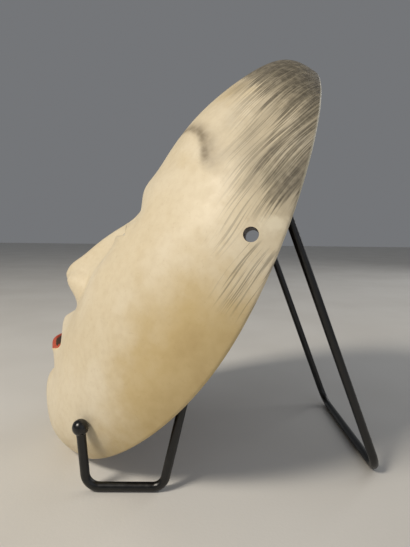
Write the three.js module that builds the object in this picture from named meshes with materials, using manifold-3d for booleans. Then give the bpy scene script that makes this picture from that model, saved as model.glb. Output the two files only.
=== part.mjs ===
// A carved wooden mask leaning on its wire display stand.
// Millimetres, +Z up. The face looks along -Y, +X is the wearer's left hand side.
// The origin lies on the ground, in the middle of the footprint.
import * as THREE from "three";
import { mergeVertices } from "three/addons/utils/BufferGeometryUtils.js";
import Module from "manifold-3d";

const wasm = await Module();
wasm.setup();

const { abs, atan2, ceil, cos, exp, hypot, max, min, PI, sin, sqrt, tan } = Math;
const { degToRad } = THREE.MathUtils;

// The mask's own frame: x sideways, v up along the face from the chin rim, w forward.
const MASK_HEIGHT = 198;
const MASK_WIDTH = 138;
// Height of the face's crown line above the chord from chin rim to forehead rim.
const DOME = 30.5;
const DOME_POWER = 0.56;
// How far the side rims sweep back from that chord, and how much less they do at the crown.
const SWEEP = 28;
const SWEEP_FADE = 0.38;
const SWEEP_ACROSS = 1.35;
const SWEEP_SOFT = 0.2;
const SWEEP_RISE = 4;
// Exponents of the rounded outline, and how much it narrows at the jaw and the crown.
const JAW_SQUARE = 2.35;
const CROWN_SQUARE = 2.2;
const JAW_NARROW = 0.14;
const CROWN_NARROW = 0.05;
const WALL = 7.5;
// Share of the face's relief that the hollow follows.
const HOLLOW_RELIEF = 0.4;
// The mask leans back by this angle, and its chin rim is this far in front of the stand's zero.
const TILT = degToRad(32.5);
const CHIN_Y = -59.8;

// Grid cells across the outer and the inner surface, and how strongly they gather on the face.
const OUTER_CELLS = 52;
const INNER_CELLS = 26;
const GATHER = 0.8;
// How strongly the rows crowd together on the steep wall next to the rim.
const RIM_CROWD = 0.75;
// Steps of the search for the height of the face at a place.
const SEARCH_STEPS = 40;

// Relief of the face: place, half spread and height of each soft swelling, mirrored in x.
const SWELLINGS = [
  { part: "forehead", x: 0, v: 150, wide: 50, tall: 33, rise: 4 },
  { part: "brow", x: 20, v: 116, wide: 16, tall: 7, rise: 1.6 },
  { part: "bridge", x: 0, v: 105, wide: 8, tall: 9, rise: -1.6 },
  { part: "eye socket", x: 24, v: 100, wide: 17, tall: 12, rise: -5.5 },
  { part: "eyeball", x: 27.5, v: 97.5, wide: 12.5, tall: 7.5, rise: 4.6 },
  { part: "cheek", x: 40, v: 74, wide: 20, tall: 24, rise: 3.2 },
  { part: "muzzle", x: 0, v: 42, wide: 24, tall: 17, rise: 4 },
  { part: "nose tip", x: 0, v: 67, wide: 7.5, tall: 6.5, rise: 2.2 },
  { part: "upper lip groove", x: 0, v: 53, wide: 3.2, tall: 5, rise: -0.9 },
  { part: "upper lip", x: 0, v: 46.8, wide: 17, tall: 3.6, rise: 2.4 },
  { part: "lower lip", x: 0, v: 33.6, wide: 15, tall: 4.3, rise: 3.4 },
  { part: "chin groove", x: 0, v: 26, wide: 17, tall: 4.6, rise: -2.6 },
  { part: "chin", x: 0, v: 15.5, wide: 17, tall: 9.5, rise: 4.4 },
];
// The ridge of the nose fades in from top, rises most between root and tip, and ends at its base.
const NOSE = { top: 122, fade: 18, root: 114, tip: 67, base: { low: 55, high: 64 }, rise: 11.5 };
// Half spread of the ridge at the root, and how much it gains from one height down to another.
const NOSE_SPREAD = { root: 6.5, gain: 4.5, from: 102, down: 68 };
const NOSE_WING = { x: 11, v: 64.5, wide: 4.8, tall: 5.5, rise: 5, base: { low: 55, high: 62 } };

// Openings cut through the wall. Those that run straight back reach this far in front of w = 0.
const CUTTER_REACH = 80;
// An eye is a shallow leaf that is turned to lie in the side of the face, with the pupil bored through.
const EYE = { x: 27.5, v: 97, width: 25, height: 8.4, depth: 1.7, slant: degToRad(4), turn: degToRad(7) };
const PUPIL = { x: 26.6, v: 96.8, radius: 2.5, sides: 12 };
const MOUTH = { v: 41, width: 40, height: 9.6, depth: 5.5 };
const MOUTH_SLIT = { v: 38.4, width: 33, height: 3.6 };
// Height of a leaf outline's control points over its half width, as a share of its height.
const LEAF_CONTROL = 0.66;
const LEAF_SEGMENTS = 7;
const NOSTRIL = { x: 6.2, v: 55.5, w: 35, radius: 2, depth: 10, rise: 0.1, sides: 8 };
// The bore of each cord hole starts inside the hollow and rises a little on its way out.
const CORD_HOLE = { inset: 30, v: 122.5, w: -18.5, radius: 2.35, length: 45, rise: 0.25, sides: 12 };

// The wire stand.
const WIRE_RADIUS = 1.75;
const WIRE_SIDES = 12;
const BEND_STEP = degToRad(18.5);
const HOOK_X = 48.2;
const HOOK_Y = -44;
// A hook leans forward on its way up.
const HOOK_LEAN = degToRad(4.5);
// The balls on the hooks, with a flat underneath that is as wide as the wire it sits on.
const BALL_RADIUS = 3.05;
const BALL_SIDES = 16;
const BALL_STEPS = 9;
const BALL_Z = 25;
const BALL_FLAT = sqrt(BALL_RADIUS ** 2 - WIRE_RADIUS ** 2);
const HOOK_BEND = 5.5;
const RUN_END_Y = -13.2;
const RUN_BEND = 5;
const FRONT_LEAN = degToRad(12.9);
const TOP_Z = 136.7;
const TOP_Y = RUN_END_Y + (TOP_Z - WIRE_RADIUS) * tan(FRONT_LEAN);
const TOP_HALF_WIDTH = 38.2;
const TOP_BEND = 6;
const BACK_HALF_WIDTH = 37.5;
const BACK_FOOT_Y = 73;
const BACK_BEND = 8;
// The back legs are welded behind the ends of the top bar, and end this far above it.
const BACK_BEHIND = 3.2;
const BACK_OVERLAP = 0.6;
// Clearance kept between pieces that touch.
const CLEARANCE = 0.3;

// Moves the whole part so that the origin is the middle of its footprint.
const CENTRE_Y = -1.24;

const smooth = THREE.MathUtils.smoothstep;

function swelling(x, v, s) {
  return s.rise * exp(-(((abs(x) - s.x) / s.wide) ** 2) - ((v - s.v) / s.tall) ** 2);
}

// Height of the nose over the face: a ridge that grows downwards, cut off under the tip, with wings.
function nose(x, v) {
  const grown = 1 - smooth(v, NOSE.tip, NOSE.root);
  const width = NOSE_SPREAD.root + NOSE_SPREAD.gain * (1 - smooth(v, NOSE_SPREAD.down, NOSE_SPREAD.from));
  const ridge = (1 + NOSE.rise * grown) * exp(-((x / width) ** 2));
  const ends = smooth(v, NOSE.base.low, NOSE.base.high) * smooth(NOSE.top - v, 0, NOSE.fade);
  const wing = swelling(x, v, NOSE_WING) * smooth(v, NOSE_WING.base.low, NOSE_WING.base.high);
  return ridge * ends + wing;
}

function relief(x, v) {
  return SWELLINGS.reduce((sum, s) => sum + swelling(x, v, s), nose(x, v));
}

// A point of the mask's surface for p, q in the unit disk, shrunk by inset for the hollow.
function surfacePoint(p, q, inset, reliefShare) {
  const angle = atan2(q, p);
  const reach = min(hypot(p, q), 1);
  const slope = ((reach + RIM_CROWD * reach ** 4 * (1 - reach)) * PI) / 2;
  const edge = sin(slope);
  const c = cos(angle);
  const s = sin(angle);
  const square = s > 0 ? CROWN_SQUARE : JAW_SQUARE;
  const stretch = (abs(c) ** square + abs(s) ** square) ** (-1 / square);
  const mix = 1 + (stretch - 1) * edge * edge;
  const across = c * mix;
  const up = s * mix * edge;
  const taper = 1 - JAW_NARROW * smooth(-up, 0, 1) - CROWN_NARROW * smooth(up, 0, 1);
  const x = (MASK_WIDTH / 2 - inset) * across * edge * taper;
  const v = MASK_HEIGHT / 2 + (MASK_HEIGHT / 2 - inset) * up;
  const swept = hypot(across * taper, SWEEP_SOFT) ** SWEEP_ACROSS - SWEEP_SOFT ** SWEEP_ACROSS;
  const sweep = SWEEP * (1 - SWEEP_FADE * up) * swept;
  const w = (DOME - inset) * max(cos(slope), 0) ** DOME_POWER - sweep * edge ** SWEEP_RISE;
  return new THREE.Vector3(x, v, w + reliefShare * relief(x, v) * (1 - edge ** 6));
}

// Maps the square [-1, 1] to the unit disk, with the grid lines gathered towards the middle.
function toDisk(a, b) {
  const gather = (t) => t * (GATHER + (1 - GATHER) * t * t);
  const p = gather(a);
  const q = gather(b);
  return [p * sqrt(1 - (q * q) / 2), q * sqrt(1 - (p * p) / 2)];
}

// Adds a grid of cells to the mesh and returns the index of each grid point.
function addSheet(mesh, cells, inset, reliefShare, facesOut) {
  const at = [];
  for (let j = 0; j <= cells; j++) {
    for (let i = 0; i <= cells; i++) {
      const [p, q] = toDisk((2 * i) / cells - 1, (2 * j) / cells - 1);
      at.push(mesh.points.push(surfacePoint(p, q, inset, reliefShare)) - 1);
    }
  }
  const index = (i, j) => at[j * (cells + 1) + i];
  for (let j = 0; j < cells; j++) {
    for (let i = 0; i < cells; i++) {
      const corners = [index(i, j), index(i + 1, j), index(i + 1, j + 1), index(i, j + 1)];
      if (!facesOut) corners.reverse();
      // The diagonals run mirrored in the two halves of the face.
      const turn = (2 * i < cells) === facesOut ? 1 : 0;
      const [k, l, m, n] = [0, 1, 2, 3].map((c) => corners[(c + turn) % 4]);
      mesh.faces.push([k, l, m], [k, m, n]);
    }
  }
  return index;
}

// The grid points round the border, counter-clockwise seen from the front.
function border(index, cells) {
  const loop = [];
  for (let i = 0; i < cells; i++) loop.push(index(i, 0));
  for (let j = 0; j < cells; j++) loop.push(index(cells, j));
  for (let i = cells; i > 0; i--) loop.push(index(i, cells));
  for (let j = cells; j > 0; j--) loop.push(index(0, j));
  return loop;
}

// Outer face, hollow and the rim between them, as one closed shell.
function maskShell() {
  const mesh = { points: [], faces: [] };
  const outer = border(addSheet(mesh, OUTER_CELLS, 0, 1, true), OUTER_CELLS);
  const inner = border(addSheet(mesh, INNER_CELLS, WALL, HOLLOW_RELIEF, false), INNER_CELLS);
  inner.forEach((here, i) => {
    const next = inner[(i + 1) % inner.length];
    const [start, middle, end] = [0, 1, 2].map((k) => outer[(2 * i + k) % outer.length]);
    mesh.faces.push([start, here, middle], [middle, here, next], [middle, next, end]);
  });
  const geometry = new THREE.BufferGeometry().setFromPoints(mesh.points);
  return geometry.setIndex(mesh.faces.flat());
}

function solidOf(geometry) {
  const bare = new THREE.BufferGeometry();
  bare.setAttribute("position", geometry.getAttribute("position"));
  bare.setIndex(geometry.getIndex());
  const merged = mergeVertices(bare, 1e-4);
  return new wasm.Manifold(
    new wasm.Mesh({
      numProp: 3,
      vertProperties: merged.getAttribute("position").array,
      triVerts: new Uint32Array(merged.getIndex().array),
    }),
  );
}

function geometryOf(solid) {
  const { vertProperties, triVerts } = solid.getMesh();
  const geometry = new THREE.BufferGeometry();
  geometry.setAttribute("position", new THREE.BufferAttribute(vertProperties, 3));
  return geometry.setIndex(new THREE.BufferAttribute(triVerts, 1));
}

// A leaf-shaped prism in the x, v plane that runs forward along w from the back given.
function leafPrism(width, height, back) {
  const leaf = new THREE.Shape();
  leaf.moveTo(-width / 2, 0);
  const control = height * LEAF_CONTROL;
  leaf.bezierCurveTo(-width / 4, -control, width / 4, -control, width / 2, 0);
  leaf.bezierCurveTo(width / 4, control, -width / 4, control, -width / 2, 0);
  const prism = new THREE.ExtrudeGeometry(leaf, {
    depth: CUTTER_REACH - back,
    curveSegments: LEAF_SEGMENTS,
    bevelEnabled: false,
  });
  return prism.translate(0, 0, back);
}

// A round cutter from the point start along a direction.
function drill(start, direction, length, radius, sides) {
  const cutter = new THREE.CylinderGeometry(radius, radius, length, sides);
  cutter.translate(0, length / 2, 0);
  const turn = new THREE.Quaternion().setFromUnitVectors(
    new THREE.Vector3(0, 1, 0),
    direction.clone().normalize(),
  );
  return cutter.applyQuaternion(turn).translate(start.x, start.y, start.z);
}

function maskSolid() {
  const cutters = [
    leafPrism(MOUTH.width, MOUTH.height, faceHeight(0, MOUTH.v) - MOUTH.depth).translate(0, MOUTH.v, 0),
    leafPrism(MOUTH_SLIT.width, MOUTH_SLIT.height, 0).translate(0, MOUTH_SLIT.v, 0),
  ];
  for (const side of [-1, 1]) {
    const eye = leafPrism(EYE.width, EYE.height, -EYE.depth).rotateZ(side * EYE.slant);
    cutters.push(eye.rotateY(side * EYE.turn).translate(side * EYE.x, EYE.v, faceHeight(EYE.x, EYE.v)));
    const pupil = new THREE.Vector3(side * PUPIL.x, PUPIL.v, 0);
    cutters.push(drill(pupil, new THREE.Vector3(0, 0, 1), CUTTER_REACH, PUPIL.radius, PUPIL.sides));
    const nostril = new THREE.Vector3(side * NOSTRIL.x, NOSTRIL.v, NOSTRIL.w);
    const upward = new THREE.Vector3(0, 1, NOSTRIL.rise);
    cutters.push(drill(nostril, upward, NOSTRIL.depth, NOSTRIL.radius, NOSTRIL.sides));
    const hollowSide = side * (MASK_WIDTH / 2 - CORD_HOLE.inset);
    const hole = new THREE.Vector3(hollowSide, CORD_HOLE.v, CORD_HOLE.w);
    const outward = new THREE.Vector3(side, 0, CORD_HOLE.rise);
    cutters.push(drill(hole, outward, CORD_HOLE.length, CORD_HOLE.radius, CORD_HOLE.sides));
  }
  return cutters.reduce((mask, cutter) => mask.subtract(solidOf(cutter)), solidOf(maskShell()));
}

// Height w of the outer face at x, v, found by stepping p and q towards that place.
function faceHeight(x, v) {
  let [p, q] = [0, 0];
  let point = surfacePoint(p, q, 0, 1);
  for (let i = 0; i < SEARCH_STEPS; i++) {
    p += (x - point.x) / MASK_HEIGHT;
    q += (v - point.y) / MASK_HEIGHT;
    point = surfacePoint(p, q, 0, 1);
  }
  return point.z;
}

// Points of a path through the corners, each rounded by an arc of its own radius.
function bentPath(corners, radii) {
  const knots = [corners[0]];
  for (let i = 1; i < corners.length - 1; i++) {
    const into = corners[i].clone().sub(corners[i - 1]).normalize();
    const out = corners[i + 1].clone().sub(corners[i]).normalize();
    const turn = into.angleTo(out);
    const start = corners[i].clone().addScaledVector(into, -radii[i - 1] * tan(turn / 2));
    const inward = out.clone().addScaledVector(into, -into.dot(out)).normalize();
    const steps = ceil(turn / BEND_STEP);
    for (let k = 0; k <= steps; k++) {
      const angle = (turn * k) / steps;
      const knot = start.clone().addScaledVector(into, radii[i - 1] * sin(angle));
      knots.push(knot.addScaledVector(inward, radii[i - 1] * (1 - cos(angle))));
    }
  }
  return [...knots, corners.at(-1)];
}

// A wire that is mirrored in x: its rings sit at the knots and turn the same way on both sides.
class MirroredWire extends THREE.Curve {
  constructor(knots, turn) {
    super();
    this.knots = knots;
    this.turn = turn;
  }

  getPointAt(u) {
    return this.knots[Math.round(u * (this.knots.length - 1))].clone();
  }

  computeFrenetFrames() {
    const last = this.knots.length - 1;
    const tangents = this.knots.map((knot, i) => {
      const ahead = this.knots[min(i + 1, last)].clone().sub(knot).normalize();
      const behind = knot.clone().sub(this.knots[max(i - 1, 0)]).normalize();
      return ahead.add(behind).normalize();
    });
    const sideways = new THREE.Vector3(1, 0, 0);
    const normals = [sideways.applyAxisAngle(tangents[0], this.turn)];
    for (let i = 1; 2 * i <= last; i++) {
      const roll = new THREE.Quaternion().setFromUnitVectors(tangents[i - 1], tangents[i]);
      normals.push(normals[i - 1].clone().applyQuaternion(roll));
    }
    for (let i = normals.length; i <= last; i++) {
      normals.push(normals[last - i].clone().multiply(new THREE.Vector3(-1, 1, 1)));
    }
    const binormals = tangents.map((t, i) => new THREE.Vector3().crossVectors(t, normals[i]));
    return { tangents, normals, binormals };
  }
}

// A wire along the right half of a path and its mirror image, as one closed body.
// Its section has flats that touch the true round wire, one of them facing down on the ground.
function wire(halfCorners, halfRadii, turn) {
  const mirrored = halfCorners.map((c) => new THREE.Vector3(-c.x, c.y, c.z)).reverse();
  const radii = [...halfRadii, ...halfRadii.toReversed()];
  const path = new MirroredWire(bentPath([...halfCorners, ...mirrored], radii), turn);
  const section = new THREE.Shape();
  for (let k = 0; k < WIRE_SIDES; k++) {
    const angle = ((2 * k + 1) * PI) / WIRE_SIDES;
    const radius = WIRE_RADIUS / cos(PI / WIRE_SIDES);
    if (k === 0) section.moveTo(radius * cos(angle), radius * sin(angle));
    else section.lineTo(radius * cos(angle), radius * sin(angle));
  }
  return new THREE.ExtrudeGeometry(section, {
    steps: path.knots.length - 1,
    extrudePath: path,
    bevelEnabled: false,
  });
}

// Hook, run along the ground, upright and half of the top bar.
function frontFrame() {
  const below = BALL_FLAT + CLEARANCE;
  const footY = HOOK_Y + (BALL_Z - WIRE_RADIUS) * tan(HOOK_LEAN);
  const corners = [
    new THREE.Vector3(HOOK_X, HOOK_Y + below * sin(HOOK_LEAN), BALL_Z - below * cos(HOOK_LEAN)),
    new THREE.Vector3(HOOK_X, footY, WIRE_RADIUS),
    new THREE.Vector3(HOOK_X, RUN_END_Y, WIRE_RADIUS),
    new THREE.Vector3(TOP_HALF_WIDTH, TOP_Y, TOP_Z),
  ];
  return wire(corners, [HOOK_BEND, RUN_BEND, TOP_BEND], 0);
}

// One leg and half of the bar between the feet.
function backLeg() {
  const foot = new THREE.Vector3(BACK_HALF_WIDTH, BACK_FOOT_Y, WIRE_RADIUS);
  const top = new THREE.Vector3(BACK_HALF_WIDTH, TOP_Y + BACK_BEHIND, TOP_Z);
  const up = top.clone().sub(foot).normalize();
  const lean = atan2(-up.y, up.z);
  return wire([top.addScaledVector(up, BACK_OVERLAP), foot], [BACK_BEND], lean);
}

// A ball with its flat downwards, turned round the axis of the hook that it sits on.
function ballTip() {
  const lowest = atan2(-BALL_FLAT, WIRE_RADIUS);
  const profile = [new THREE.Vector2(0, -BALL_FLAT)];
  for (let k = 0; k < BALL_STEPS; k++) {
    const angle = lowest + ((PI / 2 - lowest) * k) / BALL_STEPS;
    profile.push(new THREE.Vector2(BALL_RADIUS * cos(angle), BALL_RADIUS * sin(angle)));
  }
  profile.push(new THREE.Vector2(0, BALL_RADIUS));
  return new THREE.LatheGeometry(profile, BALL_SIDES).rotateX(PI / 2 + HOOK_LEAN);
}

const paintedWood = new THREE.MeshStandardMaterial({
  color: 0xdccda6,
  roughness: 0.5,
  metalness: 0,
});
const blackEnamel = new THREE.MeshStandardMaterial({
  color: 0x151414,
  roughness: 0.35,
  metalness: 0.2,
});

function named(name, geometry, material) {
  const mesh = new THREE.Mesh(geometry, material.clone());
  mesh.name = name;
  return mesh;
}

const mask = named("mask", geometryOf(maskSolid()), paintedWood);
mask.rotation.x = PI / 2 - TILT;
// The chin rim stands on the ground.
mask.updateMatrix();
const lowest = new THREE.Box3().setFromBufferAttribute(
  mask.geometry.getAttribute("position").clone().applyMatrix4(mask.matrix),
).min.z;
mask.position.set(0, CHIN_Y, -lowest);

const stand = new THREE.Group();
stand.add(named("front_frame", frontFrame(), blackEnamel));
stand.add(named("back_leg", backLeg(), blackEnamel));
for (const [side, place] of [[-1, "right"], [1, "left"]]) {
  const ball = named(`ball_tip_${place}`, ballTip(), blackEnamel);
  ball.position.set(side * HOOK_X, HOOK_Y, BALL_Z);
  stand.add(ball);
}

const part = new THREE.Group();
part.add(mask, stand);
part.position.y = CENTRE_Y;

const root = new THREE.Group();
root.add(part);

export default root;
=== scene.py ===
"""A carved and painted theatre mask on its black wire stand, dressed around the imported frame.

Sizes are in millimetres, apart from the studio's, and the meshes hold metres. The mask's own frame
has x sideways, v up along the face from the chin rim and w forward. The stand is built in the row frame.
"""

import logging
import math
from dataclasses import dataclass, field
from enum import Enum

import bpy
import numpy as np
from mathutils import Matrix, Vector
from mathutils.kdtree import KDTree


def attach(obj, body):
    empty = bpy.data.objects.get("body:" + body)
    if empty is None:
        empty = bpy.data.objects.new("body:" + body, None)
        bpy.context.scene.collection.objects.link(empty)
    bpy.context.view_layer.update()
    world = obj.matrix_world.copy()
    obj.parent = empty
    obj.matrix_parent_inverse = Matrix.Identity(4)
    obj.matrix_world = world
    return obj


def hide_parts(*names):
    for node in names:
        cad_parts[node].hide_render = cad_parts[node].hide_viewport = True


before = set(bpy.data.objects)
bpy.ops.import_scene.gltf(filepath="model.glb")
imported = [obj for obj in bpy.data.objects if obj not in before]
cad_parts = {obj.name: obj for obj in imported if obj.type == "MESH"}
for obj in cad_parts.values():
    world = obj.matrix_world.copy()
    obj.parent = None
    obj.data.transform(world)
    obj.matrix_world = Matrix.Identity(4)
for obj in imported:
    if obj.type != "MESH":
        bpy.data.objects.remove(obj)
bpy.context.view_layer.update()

# Metres in a millimetre.
MM = 0.001
Piece = bpy.types.Object
Socket = bpy.types.NodeSocket
log = logging.getLogger("mask")


def smooth(x: np.ndarray, low: float, high: float) -> np.ndarray:
    """Returns 0 below low, 1 above high and a smooth step between them."""
    t = np.clip((x - low) / (high - low), 0.0, 1.0)
    return t * t * (3.0 - 2.0 * t)


def bell(x: np.ndarray, middle: float, spread: float) -> np.ndarray:
    """Returns a bell curve of height 1 around the middle."""
    return np.exp(-(((x - middle) / spread) ** 2))


def linear(colour: str) -> tuple[float, float, float, float]:
    """Turns an sRGB hex colour into linear values.

    Args:
        colour: Six hex digits after a hash mark.

    Returns:
        Red, green, blue and an alpha of 1.
    """
    parts = [int(colour[i : i + 2], 16) / 255 for i in (1, 3, 5)]
    low = [c / 12.92 for c in parts]
    high = [((c + 0.055) / 1.055) ** 2.4 for c in parts]
    return tuple(a if c <= 0.04045 else b for a, b, c in zip(low, high, parts)) + (1.0,)


def feed(node: bpy.types.Node, inputs: dict[str | int, object]) -> None:
    """Sets a node's sockets.

    Args:
        node: The node.
        inputs: Socket name or number, with a plain value, a hex colour or the output to link to it.
    """
    for name, value in inputs.items():
        if isinstance(value, Socket):
            node.id_data.links.new(value, node.inputs[name])
        else:
            node.inputs[name].default_value = linear(value) if isinstance(value, str) else value


class Step(Enum):
    """Shader steps: the kind of node, the sockets fed in order, the output and the settings."""

    PLACE = ("TexCoord", (), "Object", {})
    STORED = ("Attribute", (), "Fac", {})
    STORED_ROW = ("Attribute", (), "Vector", {})
    STRETCH = ("Mapping", ("Vector", "Scale"), "Vector", {})
    NOISE = ("TexNoise", ("Vector", "Scale", "Detail"), "Fac", {})
    RAMP = (
        "MapRange",
        ("Value", "From Min", "From Max", "To Min", "To Max"),
        "Result",
        {"interpolation_type": "SMOOTHSTEP"},
    )
    ADD = ("Math", (0, 1), 0, {"operation": "ADD"})
    TIMES = ("Math", (0, 1), 0, {"operation": "MULTIPLY"})
    LARGER = ("Math", (0, 1), 0, {"operation": "MAXIMUM"})
    OVER = ("Mix", (0, 6, 7), 2, {"data_type": "RGBA"})
    BUMP = ("Bump", ("Height", "Distance", "Normal"), "Normal", {})


class Dressing:
    """One new material, dressed step by step."""

    def __init__(self, name: str) -> None:
        """Makes a plain material.

        Args:
            name: Name of the finish.
        """
        self.material = bpy.data.materials.new(name)
        self.material.use_nodes = True
        self.tree = self.material.node_tree
        self.place = self.add(Step.PLACE)

    def add(self, step: Step, *values: object, **settings: object) -> Socket:
        """Adds the node of one step.

        Args:
            step: The step.
            values: What its sockets are fed with, in order. Sockets past these keep their own values.
            settings: Properties of the node.

        Returns:
            The node's output.
        """
        kind, sockets, output, fixed = step.value
        node = self.tree.nodes.new("ShaderNode" + kind)
        for name, value in (fixed | settings).items():
            setattr(node, name, value)
        feed(node, dict(zip(sockets, values)))
        return node.outputs[output]

    def spots(self, size: float, detail: float, *ends: float) -> Socket:
        """Adds soft spots all over the surface.

        Args:
            size: Their size in millimetres.
            detail: Number of finer octaves.
            ends: Where the noise's ramp starts and ends, and its values there if they aren't 0 and 1.
                Without ends there is no ramp.

        Returns:
            The value of the spots.
        """
        scale = 1 / (size * MM)
        noise = self.add(Step.NOISE, self.place, scale, detail)
        return self.add(Step.RAMP, noise, *ends) if ends else noise

    def streaks(self, place: Socket, stretch: tuple[float, float, float], detail: float) -> Socket:
        """Returns noise on a place whose axes are scaled."""
        return self.add(Step.NOISE, self.add(Step.STRETCH, place, stretch), 1.0, detail)

    def finish(self, inputs: dict[str, object]) -> bpy.types.Material:
        """Feeds the shader's sockets and returns the material."""
        feed(self.tree.nodes["Principled BSDF"], inputs)
        return self.material


def select_only(piece: Piece) -> None:
    """Makes the piece the only selected and the active object.

    Args:
        piece: The piece.
    """
    bpy.ops.object.select_all(action="DESELECT")
    piece.select_set(True)
    bpy.context.view_layer.objects.active = piece


def join(pieces: list[Piece]) -> Piece:
    """Joins pieces into the first of them.

    Args:
        pieces: The pieces.

    Returns:
        The first piece, with the meshes of all.
    """
    select_only(pieces[0])
    for piece in pieces:
        piece.select_set(True)
    bpy.ops.object.join()
    return pieces[0]


def edit(piece: Piece, kind: str, action: str) -> None:
    """Opens a piece in edit mode.

    Args:
        piece: The piece.
        kind: What gets selected, EDGE or FACE.
        action: SELECT or DESELECT, for all of it.
    """
    select_only(piece)
    bpy.ops.object.mode_set(mode="EDIT")
    bpy.ops.mesh.select_mode(type=kind)
    bpy.ops.mesh.select_all(action=action)


def select_borders() -> None:
    """Selects only the open borders of the piece in edit mode."""
    bpy.ops.mesh.select_all(action="DESELECT")
    bpy.ops.mesh.select_non_manifold(
        use_wire=False, use_multi_face=False, use_non_contiguous=False, use_verts=False
    )


def face_outwards() -> None:
    """Turns the faces of the piece in edit mode outwards, and leaves edit mode."""
    bpy.ops.mesh.select_all(action="SELECT")
    bpy.ops.mesh.normals_make_consistent(inside=False)
    bpy.ops.object.mode_set(mode="OBJECT")


def upright_to(along: Vector) -> Matrix:
    """Returns the turn that brings the z axis onto a direction."""
    return Vector((0, 0, 1)).rotation_difference(along).to_matrix().to_4x4()


def rows(items: bpy.types.bpy_prop_collection, name: str) -> np.ndarray:
    """Reads a property that has three numbers.

    Args:
        items: Vertices, faces or stored values.
        name: The property.

    Returns:
        One row of three for each item.
    """
    found = np.zeros(len(items) * 3, np.float32)
    items.foreach_get(name, found)
    return found.reshape(-1, 3).astype(float)


def picked(items: bpy.types.bpy_prop_collection) -> np.ndarray:
    """Tells which items are selected.

    Args:
        items: Vertices or faces.

    Returns:
        True for each one that is selected.
    """
    flags = np.zeros(len(items), bool)
    items.foreach_get("select", flags)
    return flags


def points_of(piece: Piece) -> np.ndarray:
    """Returns the piece's vertices as rows of three numbers."""
    return rows(piece.data.vertices, "co")


def move_points(piece: Piece, points: np.ndarray) -> None:
    """Puts the piece's vertices at the given rows."""
    piece.data.vertices.foreach_set("co", np.ascontiguousarray(points, np.float32).ravel())
    piece.data.update()


def store(piece: Piece, name: str, values: np.ndarray) -> None:
    """Stores values on the vertices of a piece.

    Args:
        piece: The piece.
        name: Name that the values are stored under.
        values: One number or one row of three for each vertex.
    """
    kind, key = ("FLOAT", "value") if values.ndim == 1 else ("FLOAT_VECTOR", "vector")
    known = piece.data.attributes
    layer = known.get(name) or known.new(name, kind, "POINT")
    layer.data.foreach_set(key, np.ascontiguousarray(values, np.float32).ravel())


def recall(piece: Piece, name: str) -> np.ndarray:
    """Returns the rows of three that are stored on the piece's vertices."""
    return rows(piece.data.attributes[name].data, "vector")


def enlist(piece: Piece, angle: float, node: str) -> Piece:
    """Smooths a finished piece, hangs it on the root body and hides the CAD part that it stands for.

    Args:
        piece: The piece.
        angle: Edges that turn by more than this angle stay sharp.
        node: The CAD node that it stands for.

    Returns:
        The piece.
    """
    select_only(piece)
    bpy.ops.object.shade_smooth_by_angle(angle=angle)
    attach(piece, "root")
    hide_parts(node)
    return piece


@dataclass(frozen=True)
class Swelling:
    """A soft swelling of the face, mirrored in x: its place, half spread and height."""

    x: float
    v: float
    wide: float
    tall: float
    rise: float

    def height(self, x: np.ndarray, v: np.ndarray) -> np.ndarray:
        """Returns its height at x, v."""
        return self.rise * bell(np.abs(x), self.x, self.wide) * bell(v, self.v, self.tall)


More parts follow.
